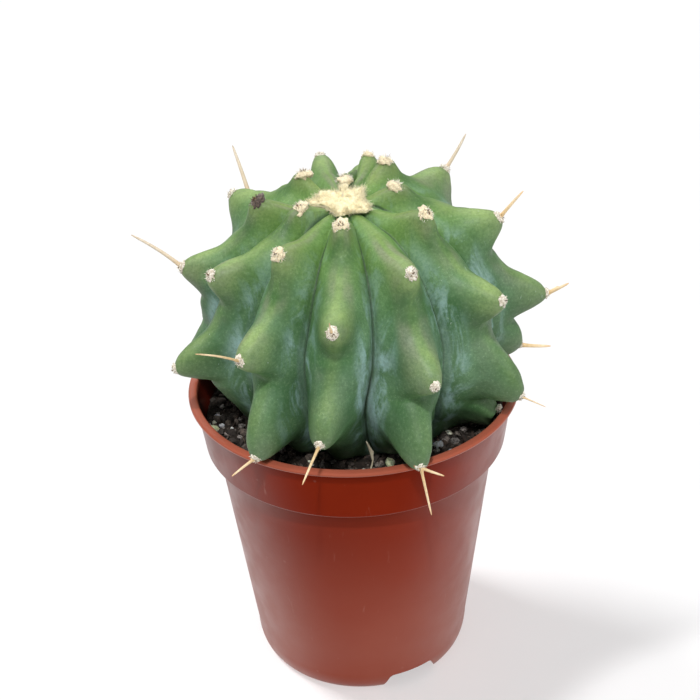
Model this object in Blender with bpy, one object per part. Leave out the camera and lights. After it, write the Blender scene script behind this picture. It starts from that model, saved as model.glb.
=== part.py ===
"""A small barrel cactus in a moulded nursery pot.

The origin is the centre of the pot's foot, +Z is up and -Y is the front. The pot stands on z = 0.
Azimuths are degrees round the plant: 0 is the front (-Y) and +90 is +X. Polar angles are degrees
down from the crown. The plant leans a little, so both are taken in the plant's own frame.
"""

import math
import random

import bmesh
import bpy
import numpy as np
from mathutils import Matrix, Vector

MM = 0.001
GAP = 0.3 * MM

# Pot
POT_HEIGHT = 81.0 * MM
RIM_RADIUS = 42.5 * MM
LIP_HEIGHT = 1.1 * MM
LIP_WIDTH = 2.3 * MM
BAND_BOTTOM = 65.9 * MM
BAND_RADIUS_TOP = 40.9 * MM
BAND_RADIUS_BOTTOM = 39.3 * MM
WALL_RADIUS_TOP = 36.4 * MM
WALL_RADIUS_BOTTOM = 29.8 * MM
CORNER_HEIGHT = 6.0 * MM
FOOT_RADIUS = 28.3 * MM
FOOT_WIDTH = 3.0 * MM
FLOOR_UNDERSIDE = 1.5 * MM
WALL_THICKNESS = 1.2 * MM
INNER_FLOOR_RADIUS = 26.7 * MM
SHOULDER_EDGE = 0.6 * MM
POT_STEPS = 48
SLOT_COUNT = 3
SLOT_AZIMUTH = 25.9
SLOT_WIDTH = 16.2 * MM
SLOT_TOP_WIDTH = 12.4 * MM
SLOT_HEIGHT = 4.3 * MM
SLOT_FROM = 21.3 * MM
SLOT_TO = 31.3 * MM

# Soil
SOIL_LEVEL = 72.5 * MM
SOIL_RADIUS = 38.5 * MM
SOIL_RELIEF = 0.7 * MM
# (waves in one turn, phase) of the soil's unevenness
SOIL_WAVES = ((3, 0.8), (7, 2.1), (13, 0.0))
SOIL_COLUMNS = 44
SOIL_RINGS = 4
HOLE_RADIUS_TOP = 27.3 * MM
HOLE_RADIUS_BOTTOM = 21.5 * MM
HOLE_DEPTH = 11.0 * MM
CRUMB_COUNT = 56
CRUMB_SIZES = (0.9 * MM, 2.0 * MM)
CRUMB_ROUGHNESS = (0.8, 1.1)
CRUMB_FLATNESS = 0.7
CRUMB_SUNK = 0.2
CRUMB_FROM_HOLE = 2.6 * MM
CRUMB_FROM_EDGE = 2.6 * MM
SOIL_SEED = 7

# Plant: the ribs' noses all reach the same leaning, flattened ball, which is dimpled at the crown
PLANT_CENTRE = Vector((0.9, -0.1, 100.2)) * MM
PLANT_RADIUS = 46.2 * MM
PLANT_HALF_HEIGHT = 40.2 * MM
CROWN_DIMPLE = 7.8 * MM
DIMPLE_ANGLE = 22.0
LEAN_TO_FRONT = 5.1
LEAN_TO_LEFT = 3.1

# One row for each rib: (polar angle, azimuth, reach in mm beyond the ball) of its areoles, from the
# crown down. The crest runs from areole to areole.
RIBS = (
    ((22, -2, 0.0), (59, -6, 0.0), (97.5, -12, 0.0)),
    ((45.5, 25, 0.0), (81, 22, 0.0), (108, 15.5, 3.4)),
    ((30, 54, 0.0), (66.5, 53.5, 0.2), (107, 57.5, 1.2), (125, 60, 0.5)),
    ((16, 92, 0.0), (52.5, 87, 0.0), (87.5, 88, 1.8), (111, 89, -2.0)),
    ((22, 141, 0.0), (52.5, 134.5, 0.0), (78, 125, 0.0), (118, 113, 0.0)),
    ((34, 164, -1.8), (70, 151, 0.0), (105, 142.5, 0.0)),
    ((10, 175, 0.0), (55, 171, -1.5), (92, 169.5, 0.0), (122, 168.5, 0.0)),
    ((46, 190, 0.0), (82, 192, 0.0), (118, 194.5, 0.0)),
    ((62, 218.5, 0.0), (98, 216, 0.0)),
    ((17.5, 222, 0.0), (53, 231.5, 0.0), (87, 242.5, 0.0), (120, 250.5, 0.0)),
    ((26, 274.5, 0.0), (60.5, 276, 0.0), (112, 268, 0.0)),
    ((15, 302, 0.0), (51.5, 300, 0.0), (88, 295, 1.5)),
    ((36.5, 327, 0.0), (71, 325, 0.5), (105.5, 328, 2.7)),
)
# (polar angle, depth in mm below the ball) of the crest between two noses
CREST_DEPTHS = (
    (0, 2.0), (10, 2.5), (20, 4.3), (30, 5.5), (45, 5.9), (60, 7.0),
    (72, 7.3), (85, 8.6), (100, 6.8), (115, 7.5), (131, 6.0),
)
# The same for the flanks' foot. The groove between two ribs is creased a little deeper than that.
GROOVE_DEPTHS = (
    (0, 2.0), (10, 3.5), (20, 6.5), (40, 9.8), (60, 11.8), (90, 13.6), (110, 13.6), (131, 10.5)
)
FLANK_POWER = 1.9
# (polar angle, value): a nose's length above and below its tip in degrees, and its half width in mm
NOSE_ABOVE = ((20, 7.5), (53, 8.0), (66, 9.5), (88, 10.0), (107, 14.5))
NOSE_BELOW = ((20, 7.5), (60, 6.8), (100, 8.5))
NOSE_WIDTHS = ((15, 2.6), (50, 3.9), (85, 4.4), (105, 4.3))
NOSE_BLUNTNESS = 2.6
NOSE_TOP_BLUNTNESS = 2.4
# Degrees that a nose's tip hangs down
NOSE_DROOP = 2.2
# A nose starts no further up than this share of the way to the areole above it
NOSE_SPACING = 0.4
CREASE_DEPTH = 1.6 * MM
CREASE_START = 0.88
RIB_COLUMNS = (-1.0, -0.72, -0.44, -0.2, 0.0, 0.2, 0.44, 0.72)
CROWN_ROWS = (3.0, 7.0)
FIRST_ROW = 11.0
LAST_ROW = 131.0
ROW_STEP = 3.0
# (height in the plant's frame, radius, share of the last row's rib shape), from the soil down
STUMP_ROWS = ((-27.5, 25.5, 0.25), (-31.0, 23.5, 0.0), (-37.0, 19.0, 0.0))
RIM_CLEARANCE = 0.9 * MM
RIM_MARGIN = 2.0 * MM
RIM_SLOPE = 2.0

# Areole pads and spines
# (polar angle, radius in mm): the pads are smaller lower down, where they are old
PAD_RADII = ((20, 1.9), (80, 1.3))
PAD_FLATNESS = 0.72
PAD_SUNK = 0.35
PAD_DROOP = 12.0
SPINE_RADIUS = 0.55 * MM
SPINE_TIP_RADIUS = 0.2 * MM
SPINE_ROOT = 1.6 * MM
# (rib, areole, length in mm, azimuth, rise, share of the full thickness) of the front and side spines
SPINES = (
    (10, 1, 14.8, -116, 25, 1.0),
    (8, 0, 15.5, -159, 38, 1.15),
    (4, 1, 10.3, 128, 47, 1.0),
    (3, 1, 8.3, 90, 51, 0.9),
    (3, 2, 6.1, 72, 33, 1.0),
    (3, 2, 3.2, 103, 27, 0.8),
    (3, 3, 8.3, 98, -10, 1.1),
    (2, 2, 6.3, 63, -13, 0.45),
    (12, 1, 14.5, -41, 32, 0.55),
    (12, 2, 6.6, -62, -24, 0.85),
    (0, 2, 12.3, -18, -10, 0.8),
    (0, 1, 4.5, -12, 60, 0.45),
    (1, 2, 11.3, 26, -65, 0.7),
    (1, 2, 5.6, 73, -15, 0.75),
)
BACK_SPINE_RIBS = (5, 6, 7, 8)
BACK_SPINE_POLAR = 75.0
BACK_SPINE_LENGTHS = (9.0 * MM, 12.5 * MM)
SPINE_SEED = 3

# Crown wool: (azimuth, reach in degrees beyond the core, half width) of each arm of the star
WOOL_CORE = 5.8
WOOL_ARMS = ((-92, 5.0, 20), (-128, 3.0, 18), (139, 3.2, 20), (42, 5.0, 24), (-8, 3.6, 18))
WOOL_CLEARANCE = 0.4 * MM
# The wool rests on the highest skin within this many degrees of azimuth and of polar angle
WOOL_REACH = (5.0, 2.0)
WOOL_THICKNESS = 1.7 * MM
WOOL_CROWN = 1.12
WOOL_COLUMNS = 39
WOOL_RINGS = 3


def make_material(name, colour, roughness):
    material = bpy.data.materials.new(name)
    material.use_nodes = True
    shader = material.node_tree.nodes["Principled BSDF"]
    shader.inputs["Base Color"].default_value = (*colour, 1.0)
    shader.inputs["Roughness"].default_value = roughness
    shader.inputs["Metallic"].default_value = 0.0
    return material


def make_object(name, points, faces, material=None):
    mesh = bpy.data.meshes.new(name)
    mesh.from_pydata([tuple(p) for p in points], [], [tuple(f) for f in faces])
    if material:
        mesh.materials.append(material)
    obj = bpy.data.objects.new(name, mesh)
    bpy.context.scene.collection.objects.link(obj)
    return obj


def recalculate_normals(obj):
    bm = bmesh.new()
    bm.from_mesh(obj.data)
    bmesh.ops.recalc_face_normals(bm, faces=bm.faces)
    bm.to_mesh(obj.data)
    bm.free()


def apply_modifiers(obj):
    graph = bpy.context.evaluated_depsgraph_get()
    mesh = bpy.data.meshes.new_from_object(obj.evaluated_get(graph))
    obj.modifiers.clear()
    obj.data = mesh


def fuse(obj, pieces, operation="UNION"):
    """Joins the pieces to obj, or cuts them from it, and removes them."""
    group = bpy.data.collections.new(obj.name + "_pieces")
    bpy.context.scene.collection.children.link(group)
    for piece in pieces:
        bpy.context.scene.collection.objects.unlink(piece)
        group.objects.link(piece)
    boolean = obj.modifiers.new("Fuse", "BOOLEAN")
    boolean.operation = operation
    boolean.operand_type = "COLLECTION"
    boolean.collection = group
    boolean.solver = "EXACT"
    apply_modifiers(obj)
    for piece in pieces:
        bpy.data.objects.remove(piece)
    bpy.data.collections.remove(group)


def shade_smooth(obj, angle):
    obj.data.shade_smooth()
    obj.data.set_sharp_from_angle(angle=math.radians(angle))


def ring_faces(rows, columns):
    """Quads of a closed tube whose points are listed row after row."""
    faces = []
    for row in range(rows - 1):
        for column in range(columns):
            after = (column + 1) % columns
            upper, lower = row * columns, (row + 1) * columns
            faces.append((upper + column, lower + column, lower + after, upper + after))
    return faces


# Pot


def arc(centre_r, centre_z, radius, start, end, steps):
    """Points of a quarter turn or so in the profile's plane, angles in degrees from +R towards +Z."""
    angles = np.radians(np.linspace(start, end, steps))
    return [(centre_r + radius * math.cos(a), centre_z + radius * math.sin(a)) for a in angles]


def inner_wall():
    """(radius, height) down the inside, from the shoulder to the floor. The soil follows it."""
    return [
        (BAND_RADIUS_BOTTOM - WALL_THICKNESS, BAND_BOTTOM + WALL_THICKNESS),
        (WALL_RADIUS_TOP - WALL_THICKNESS, BAND_BOTTOM - WALL_THICKNESS / 2),
        (WALL_RADIUS_BOTTOM - WALL_THICKNESS, CORNER_HEIGHT),
        (INNER_FLOOR_RADIUS, FLOOR_UNDERSIDE + WALL_THICKNESS),
    ]


def pot_profile():
    """(radius, height) from the floor's centre up the inside, over the lip and down the outside."""
    lip = LIP_HEIGHT / 2
    edge = SHOULDER_EDGE
    profile = [(0.0, FLOOR_UNDERSIDE + WALL_THICKNESS)]
    profile += reversed(inner_wall())
    profile += [(RIM_RADIUS - LIP_WIDTH, POT_HEIGHT - lip)]
    profile += arc(RIM_RADIUS - LIP_WIDTH + lip, POT_HEIGHT - lip, lip, 135, 90, 2)
    profile += arc(RIM_RADIUS - lip, POT_HEIGHT - lip, lip, 75, -60, 4)
    profile += [
        (BAND_RADIUS_TOP, POT_HEIGHT - LIP_HEIGHT - edge),
        (BAND_RADIUS_BOTTOM, BAND_BOTTOM + edge),
        (BAND_RADIUS_BOTTOM - edge, BAND_BOTTOM),
        (WALL_RADIUS_TOP + edge, BAND_BOTTOM - edge),
        (WALL_RADIUS_TOP, BAND_BOTTOM - 2 * edge),
        (WALL_RADIUS_BOTTOM, CORNER_HEIGHT),
        (WALL_RADIUS_BOTTOM - edge, CORNER_HEIGHT / 3),
        (FOOT_RADIUS, edge / 2),
        (FOOT_RADIUS - edge, 0.0),
        (FOOT_RADIUS - FOOT_WIDTH, 0.0),
        (FOOT_RADIUS - FOOT_WIDTH - edge, FLOOR_UNDERSIDE),
        (0.0, FLOOR_UNDERSIDE),
    ]
    return profile


def turned(name, profile, steps, material):
    """The profile, drawn at +X, turned about Z with a Screw modifier."""
    points = [(r, 0.0, z) for r, z in profile]
    mesh = bpy.data.meshes.new(name)
    mesh.from_pydata(points, [(i, i + 1) for i in range(len(points) - 1)], [])
    mesh.materials.append(material)
    obj = bpy.data.objects.new(name, mesh)
    bpy.context.scene.collection.objects.link(obj)
    screw = obj.modifiers.new("Turn", "SCREW")
    screw.steps = steps
    screw.render_steps = steps
    screw.use_merge_vertices = True
    screw.merge_threshold = 0.00001
    apply_modifiers(obj)
    return obj


def slot_cutter(azimuth):
    """A block with sloping ends that opens the foot ring and the edge of the floor."""
    top = SLOT_TOP_WIDTH / 2
    low = SLOT_WIDTH - top
    corners = [(-low, -SLOT_HEIGHT), (low, -SLOT_HEIGHT), (top, SLOT_HEIGHT), (-top, SLOT_HEIGHT)]
    points = [(x, -y, z) for y in (SLOT_FROM, SLOT_TO) for x, z in corners]
    faces = [(0, 3, 2, 1), (4, 5, 6, 7)] + [(i, (i + 1) % 4, (i + 1) % 4 + 4, i + 4) for i in range(4)]
    cutter = make_object("slot_cutter", points, faces)
    cutter.data.transform(Matrix.Rotation(math.radians(azimuth), 4, "Z"))
    recalculate_normals(cutter)
    return cutter


def make_pot():
    material = make_material("red_brown_plastic", (0.36, 0.085, 0.04), 0.42)
    pot = turned("pot", pot_profile(), POT_STEPS, material)
    fuse(pot, [slot_cutter(SLOT_AZIMUTH + i * 360 / SLOT_COUNT) for i in range(SLOT_COUNT)], "DIFFERENCE")
    shade_smooth(pot, 32)
    return pot


# Soil


def soil_height(azimuth, radius):
    """The soil's top, which a few slow waves make uneven."""
    waves = [math.sin(count * azimuth + phase + radius / MM) for count, phase in SOIL_WAVES]
    return SOIL_LEVEL + SOIL_RELIEF * sum(waves) / len(waves)


def make_crumb(draw, index, stump_centre):
    azimuth = draw.uniform(0, 2 * math.pi)
    out = Vector((math.sin(azimuth), -math.cos(azimuth)))
    nearest = stump_centre + out * (HOLE_RADIUS_TOP + CRUMB_FROM_HOLE)
    at = nearest.lerp(out * (SOIL_RADIUS - CRUMB_FROM_EDGE), draw.random())
    size = draw.uniform(*CRUMB_SIZES)
    bm = bmesh.new()
    bmesh.ops.create_cube(bm, size=1.0)
    for vertex in bm.verts:
        vertex.co = vertex.co.normalized() * draw.uniform(*CRUMB_ROUGHNESS) * size
        vertex.co.z *= CRUMB_FLATNESS
    turn = Matrix.Rotation(draw.uniform(0, math.pi), 4, (draw.random(), draw.random(), draw.random() + 0.2))
    place = at.to_3d() + Vector((0, 0, soil_height(azimuth, at.length) - CRUMB_SUNK * size))
    bmesh.ops.transform(bm, matrix=Matrix.Translation(place) @ turn, verts=bm.verts)
    crumb = make_object(f"crumb_{index}", [], [])
    bm.to_mesh(crumb.data)
    bm.free()
    return crumb


def make_soil(stump_centre):
    """The fill, a plain cone-shaped hole for the plant's base, and crumbs fused to the top."""
    wall = [(radius - GAP, height + GAP) for radius, height in inner_wall()]
    angles = [2 * math.pi * i / SOIL_COLUMNS for i in range(SOIL_COLUMNS)]
    points = []
    for radius, depth in ((HOLE_RADIUS_BOTTOM, HOLE_DEPTH), (HOLE_RADIUS_TOP, 0.0)):
        for a in angles:
            place = stump_centre + Vector((radius * math.sin(a), -radius * math.cos(a)))
            reach = place.length
            height = soil_height(math.atan2(place.x, -place.y), reach) if depth == 0 else SOIL_LEVEL - depth
            points.append((place.x, place.y, height))
    edge = points[-SOIL_COLUMNS:]
    for ring in range(1, SOIL_RINGS + 1):
        share = ring / SOIL_RINGS
        for (x, y, _), a in zip(edge, angles):
            at = Vector((x, y)).lerp(Vector((math.sin(a), -math.cos(a))) * SOIL_RADIUS, share)
            points.append((at.x, at.y, soil_height(math.atan2(at.x, -at.y), at.length)))
    for radius, height in wall:
        points += [(radius * math.sin(a), -radius * math.cos(a), height) for a in angles]
    rows = len(points) // SOIL_COLUMNS
    faces = ring_faces(rows, SOIL_COLUMNS)
    faces.append(tuple(range(SOIL_COLUMNS)))
    faces.append(tuple(range((rows - 1) * SOIL_COLUMNS, rows * SOIL_COLUMNS)))
    soil = make_object("soil", points, faces, make_material("peat", (0.022, 0.016, 0.012), 0.95))
    recalculate_normals(soil)
    draw = random.Random(SOIL_SEED)
    fuse(soil, [make_crumb(draw, i, stump_centre) for i in range(CRUMB_COUNT)])
    return soil


# Plant


def between(pairs, polar):
    """Reads a curve given as (polar angle, value) pairs."""
    return np.interp(polar, [p for p, _ in pairs], [v for _, v in pairs])


def lean(points):
    """From the plant's own frame to the world."""
    front, left = math.radians(LEAN_TO_FRONT), math.radians(LEAN_TO_LEFT)
    turn = Matrix.Rotation(-left, 3, "Y") @ Matrix.Rotation(front, 3, "X")
    return np.asarray(points) @ np.array(turn).T + np.array(PLANT_CENTRE)


def ball_point(azimuth, polar, depth):
    """A point this deep below the ball that the noses reach. Arrays are fine."""
    a, p = np.radians(azimuth), np.radians(polar)
    radius = (PLANT_RADIUS - depth) * np.sin(p)
    height = (PLANT_HALF_HEIGHT - depth) * np.cos(p) - CROWN_DIMPLE * np.exp(-((polar / DIMPLE_ANGLE) ** 2))
    return lean(np.stack([radius * np.sin(a), -radius * np.cos(a), height], axis=-1))


def rib_azimuth(rib, polar):
    """Azimuth of a rib's crest. Ribs before the first and after the last go on round the plant."""
    turns, index = divmod(rib, len(RIBS))
    polars, azimuths, _ = zip(*RIBS[index])
    return np.interp(polar, polars, azimuths) + 360.0 * turns


def skin(rib, across, polar, droop=NOSE_DROOP):
    """(azimuth, polar angle, depth) of the skin. across is -1 in the groove before the crest, 1 in the one after."""
    crest = rib_azimuth(rib, polar)
    before = (crest + rib_azimuth(rib - 1, polar)) / 2
    after = (crest + rib_azimuth(rib + 1, polar)) / 2
    azimuth = crest + across * np.where(across < 0, crest - before, after - crest)
    side = np.radians(np.abs(azimuth - crest)) * PLANT_RADIUS * np.sin(np.radians(polar))
    crest_depth = between(CREST_DEPTHS, polar) * MM
    fall = between(GROOVE_DEPTHS, polar) * MM - crest_depth
    crease = np.clip((np.abs(across) - CREASE_START) / (1 - CREASE_START), 0, 1)
    depth = crest_depth + fall * np.abs(across) ** FLANK_POWER
    depth = depth + CREASE_DEPTH * np.sin(np.radians(polar)) * crease
    lift, reach, last = 0.0 * depth, 0.0 * depth, None
    for angle, _, beyond in RIBS[rib]:
        above = between(NOSE_ABOVE, angle)
        if last is not None:
            above = min(above, NOSE_SPACING * (angle - last))
        last = angle
        middle = angle - droop
        if polar < middle:
            along = ((middle - polar) / (above - droop / 2)) ** NOSE_TOP_BLUNTNESS
        else:
            along = ((polar - middle) / (between(NOSE_BELOW, angle) + droop / 2)) ** 2
        aside = side / between(NOSE_WIDTHS, angle) / MM
        bump = np.exp(-along - aside**NOSE_BLUNTNESS)
        lift = np.maximum(lift, bump)
        reach = np.where(bump >= lift, bump * beyond * MM, reach)
    return azimuth, polar + droop * lift**1.5, depth * (1 - lift) - reach


def skin_depth(azimuth, polar):
    """Depth of the skin straight under a place on the ball, leaving out the noses' droop."""
    rows = [skin(rib, np.array(RIB_COLUMNS), polar, droop=0.0) for rib in range(len(RIBS))]
    azimuths = np.concatenate([row[0] for row in rows])
    depths = np.concatenate([row[2] for row in rows])
    return float(np.interp(azimuth, azimuths, depths, period=360))


def clear_of_rim(points):
    """Lifts what would lie on the pot's lip to just above it."""
    reach = np.hypot(points[:, 0], points[:, 1])
    inner = RIM_RADIUS - LIP_WIDTH - GAP
    lowest = POT_HEIGHT + RIM_CLEARANCE - RIM_SLOPE * np.clip(inner - reach, 0, None)
    near = reach > inner - RIM_MARGIN
    points[:, 2] = np.where(near, np.maximum(points[:, 2], lowest), points[:, 2])
    return points


def body_mesh():
    polars = list(CROWN_ROWS) + list(np.arange(FIRST_ROW, LAST_ROW + 0.1, ROW_STEP))
    rows = []
    for polar in polars:
        parts = [skin(rib, np.array(RIB_COLUMNS), float(polar)) for rib in range(len(RIBS))]
        rows.append(clear_of_rim(ball_point(*(np.concatenate(values) for values in zip(*parts)))))
    last = rows[-1]
    columns = len(last)
    middle = last.mean(axis=0)
    for height, radius, share in STUMP_ROWS:
        centre = lean([0.0, 0.0, height * MM])
        out = (last - middle)[:, :2]
        reach = np.linalg.norm(out, axis=1, keepdims=True)
        even = radius * MM * (1 + share * (reach / reach.mean() - 1))
        ring = np.column_stack([out / reach * even + centre[:2], np.full(columns, centre[2])])
        rows.append(ring)
    points = np.concatenate(rows)
    faces = ring_faces(len(rows), columns)
    crown, base = len(points), len(points) + 1
    foot = (len(rows) - 1) * columns
    faces += [(crown, i, (i + 1) % columns) for i in range(columns)]
    faces += [(base, foot + (i + 1) % columns, foot + i) for i in range(columns)]
    ends = [ball_point(0.0, 0.0, between(CREST_DEPTHS, 0.0) * MM), rows[-1].mean(axis=0)]
    return np.vstack([points, ends]), faces


def nose_tip(rib, areole):
    """(point, outward direction) of an areole."""
    angle, azimuth, beyond = RIBS[rib][areole]
    point = clear_of_rim(ball_point(azimuth, angle, -beyond * MM)[None])[0]
    out = ball_point(azimuth, angle + PAD_DROOP, -10 * MM) - ball_point(azimuth, angle + PAD_DROOP, 0.0)
    return Vector(point), Vector(out).normalized()


def make_pad(rib, areole):
    """A flattened ball of felt, half sunk into its nose."""
    point, out = nose_tip(rib, areole)
    radius = between(PAD_RADII, RIBS[rib][areole][0]) * MM
    bm = bmesh.new()
    bmesh.ops.create_icosphere(bm, subdivisions=1, radius=radius)
    turn = out.to_track_quat("Z", "Y").to_matrix().to_4x4()
    flat = Matrix.Diagonal((1.0, 1.0, PAD_FLATNESS, 1.0))
    place = Matrix.Translation(point - out * radius * PAD_SUNK)
    bmesh.ops.transform(bm, matrix=place @ turn @ flat, verts=bm.verts)
    pad = make_object(f"pad_{rib}_{areole}", [], [])
    bm.to_mesh(pad.data)
    bm.free()
    return pad


def make_spine(name, root, direction, length, thickness=1.0):
    """A four-sided spine whose root is sunk into the pad."""
    total = length + SPINE_ROOT
    bm = bmesh.new()
    foot, tip = SPINE_RADIUS * thickness, SPINE_TIP_RADIUS * thickness
    bmesh.ops.create_cone(bm, cap_ends=True, segments=4, radius1=foot, radius2=tip, depth=total)
    turn = direction.to_track_quat("Z", "Y").to_matrix().to_4x4()
    place = Matrix.Translation(root + direction * (total / 2 - SPINE_ROOT))
    bmesh.ops.transform(bm, matrix=place @ turn, verts=bm.verts)
    spine = make_object(name, [], [])
    bm.to_mesh(spine.data)
    bm.free()
    return spine


def direction_of(azimuth, rise):
    a, r = math.radians(azimuth), math.radians(rise)
    return Vector((math.sin(a) * math.cos(r), -math.cos(a) * math.cos(r), math.sin(r)))


def make_spines():
    spines = []
    for index, (rib, areole, length, azimuth, rise, thickness) in enumerate(SPINES):
        root, _ = nose_tip(rib, areole)
        spines.append(make_spine(f"spine_{index}", root, direction_of(azimuth, rise), length * MM, thickness))
    draw = random.Random(SPINE_SEED)
    for rib in BACK_SPINE_RIBS:
        for areole, (angle, _, _) in enumerate(RIBS[rib]):
            if angle > BACK_SPINE_POLAR:
                root, out = nose_tip(rib, areole)
                name = f"back_spine_{rib}_{areole}"
                spines.append(make_spine(name, root, out, draw.uniform(*BACK_SPINE_LENGTHS)))
    return spines


def make_cactus():
    points, faces = body_mesh()
    cactus = make_object("cactus", points, faces, make_material("cactus_skin", (0.10, 0.21, 0.06), 0.5))
    recalculate_normals(cactus)
    pads = [make_pad(rib, areole) for rib in range(len(RIBS)) for areole in range(len(RIBS[rib]))]
    fuse(cactus, pads + make_spines())
    shade_smooth(cactus, 50)
    return cactus


# Crown wool


def wool_rest(azimuth, polar):
    """Depth of the wool's underside."""
    around, along = WOOL_REACH
    near = [(azimuth + i * around, max(polar + j * along, 0)) for i in (-1, 0, 1) for j in (-1, 0, 1)]
    return min(skin_depth(a, p) for a, p in near) - WOOL_CLEARANCE


def wool_edge(azimuth):
    """Polar angle of the star's edge."""
    edge = WOOL_CORE
    for middle, reach, half_width in WOOL_ARMS:
        away = (azimuth - middle + 180) % 360 - 180
        edge += reach * math.exp(-((away / half_width) ** 2))
    return edge


def make_crown_wool():
    """A star-shaped cushion that follows the crown, a little above the skin."""
    azimuths = [360 * i / WOOL_COLUMNS for i in range(WOOL_COLUMNS)]
    shares = [ring / WOOL_RINGS for ring in range(1, WOOL_RINGS + 1)]
    points = []
    for share, thickness in [(s, 0.0) for s in shares] + [(s, WOOL_THICKNESS) for s in reversed(shares)]:
        for azimuth in azimuths:
            polar = wool_edge(azimuth) * share
            rest = wool_rest(azimuth, polar)
            points.append(ball_point(azimuth, polar, rest - thickness * (WOOL_CROWN - share**2)))
    rows = 2 * WOOL_RINGS
    faces = ring_faces(rows, WOOL_COLUMNS)
    rest = wool_rest(0.0, 0.0)
    points += [ball_point(0.0, 0.0, rest), ball_point(0.0, 0.0, rest - WOOL_THICKNESS * WOOL_CROWN)]
    for start, tip in ((0, len(points) - 2), ((rows - 1) * WOOL_COLUMNS, len(points) - 1)):
        faces += [(tip, start + i, start + (i + 1) % WOOL_COLUMNS) for i in range(WOOL_COLUMNS)]
    wool = make_object("crown_wool", points, faces, make_material("cream_wool", (0.78, 0.70, 0.45), 0.95))
    recalculate_normals(wool)
    shade_smooth(wool, 60)
    return wool


def main():
    for obj in list(bpy.data.objects):
        bpy.data.objects.remove(obj)
    stump = lean([0.0, 0.0, STUMP_ROWS[1][0] * MM])
    make_pot()
    make_soil(Vector((stump[0], stump[1])))
    make_cactus()
    make_crown_wool()


main()
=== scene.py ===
import math
import random

import bmesh
import bpy
import numpy as np
from mathutils import Matrix, Vector, noise


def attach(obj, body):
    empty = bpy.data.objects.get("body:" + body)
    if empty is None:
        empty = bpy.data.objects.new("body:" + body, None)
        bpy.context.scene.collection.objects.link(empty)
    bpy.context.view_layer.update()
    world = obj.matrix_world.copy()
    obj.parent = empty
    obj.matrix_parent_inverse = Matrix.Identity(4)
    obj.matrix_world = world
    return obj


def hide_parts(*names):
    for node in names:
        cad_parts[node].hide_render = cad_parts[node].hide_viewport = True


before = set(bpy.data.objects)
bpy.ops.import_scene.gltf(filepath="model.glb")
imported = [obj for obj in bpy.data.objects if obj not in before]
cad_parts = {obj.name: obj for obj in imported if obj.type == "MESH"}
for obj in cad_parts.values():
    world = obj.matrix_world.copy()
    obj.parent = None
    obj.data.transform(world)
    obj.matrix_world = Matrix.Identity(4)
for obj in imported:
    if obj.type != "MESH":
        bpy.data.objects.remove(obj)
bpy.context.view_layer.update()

MM = 0.001
FULL_TURN = 2 * math.pi

# Camera
CAMERA_PLACE = Vector((0.0, -265.1, 241.7)) * MM
CAMERA_FORWARD = Vector((-0.0019, 0.8669, -0.4985))
CAMERA_ROLL = -2.235
CAMERA_LENS = 61.71
CAMERA_SENSOR = 36.0

# Pot, as in the solids, on a finer grid
POT_HEIGHT = 81.0 * MM
RIM_RADIUS = 42.5 * MM
LIP_HEIGHT = 1.1 * MM
LIP_WIDTH = 2.3 * MM
BAND_BOTTOM = 65.9 * MM
BAND_RADIUS_TOP = 40.9 * MM
BAND_RADIUS_BOTTOM = 39.3 * MM
WALL_RADIUS_TOP = 36.4 * MM
WALL_RADIUS_BOTTOM = 29.8 * MM
CORNER_HEIGHT = 6.0 * MM
FOOT_RADIUS = 28.3 * MM
FOOT_WIDTH = 3.0 * MM
FLOOR_UNDERSIDE = 1.5 * MM
WALL_THICKNESS = 1.2 * MM
INNER_FLOOR_RADIUS = 26.7 * MM
POT_STEPS = 192
SLOT_COUNT = 3
SLOT_AZIMUTH = 25.9
SLOT_WIDTH = 16.2 * MM
SLOT_TOP_WIDTH = 12.4 * MM
SLOT_HEIGHT = 4.3 * MM
SLOT_FROM = 21.3 * MM
SLOT_TO = 31.3 * MM
SLOT_CORNER = 1.0 * MM
# Rounded edges of the pot, and where the wall under the ledge becomes straight
LIP_EDGE = 0.5 * MM
BAND_EDGE = 0.6 * MM
LEDGE_START = 1.3 * MM
LEDGE_CORNER = 1.1 * MM
WALL_START = BAND_BOTTOM - 1.6 * MM
CORNER_STEPS = 10
CORNER_FULLNESS = 0.7
FOOT_EDGE = 0.8 * MM
# Heights between which the pot's tones change: a painted shade strip under the ledge, dust with a painted reflection
# of the floor below it, and a painted highlight on the lip
LEDGE_SHADE = ((63.6 * MM, 65.1 * MM), (66.1 * MM, 65.7 * MM))
LEDGE_DUST_AND_PAINTED_REFLECTION = (66.5 * MM, 64.5 * MM)
WALL_DUST_AND_PAINTED_REFLECTION = (64.0 * MM, 8.0 * MM)
PAINTED_LIP_HIGHLIGHT = (79.2 * MM, 80.2 * MM)

# Soil: the solid's fill with a fine surface, and a narrower hole
GAP = 0.3 * MM
SOIL_LEVEL = 72.5 * MM
SOIL_RELIEF = 0.7 * MM
SOIL_WAVES = ((3, 0.8), (7, 2.1), (13, 0.0))
SOIL_COLUMNS = 200
SOIL_RINGS = 22
SOIL_BUMPS = ((0.22, 0.9 * MM), (0.7, 0.45 * MM))
HOLE_RADIUS_TOP = 25.6 * MM
HOLE_RADIUS_BOTTOM = 21.5 * MM
HOLE_DEPTH = 11.0 * MM
SOIL_RADIUS = 38.5 * MM
CRUMB_COUNT = 1500
CRUMB_SIZES = (0.35 * MM, 1.5 * MM)
BARK_COUNT = 120
ROOT_COUNT = 60
PERLITE_COUNT = 14
# In mm
BARK_LENGTHS = (1.6, 4.2)
ROOT_LENGTHS = (2.0, 4.5)
PERLITE_SIZES = (0.35, 0.9)
SOIL_SEED = 7
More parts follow.
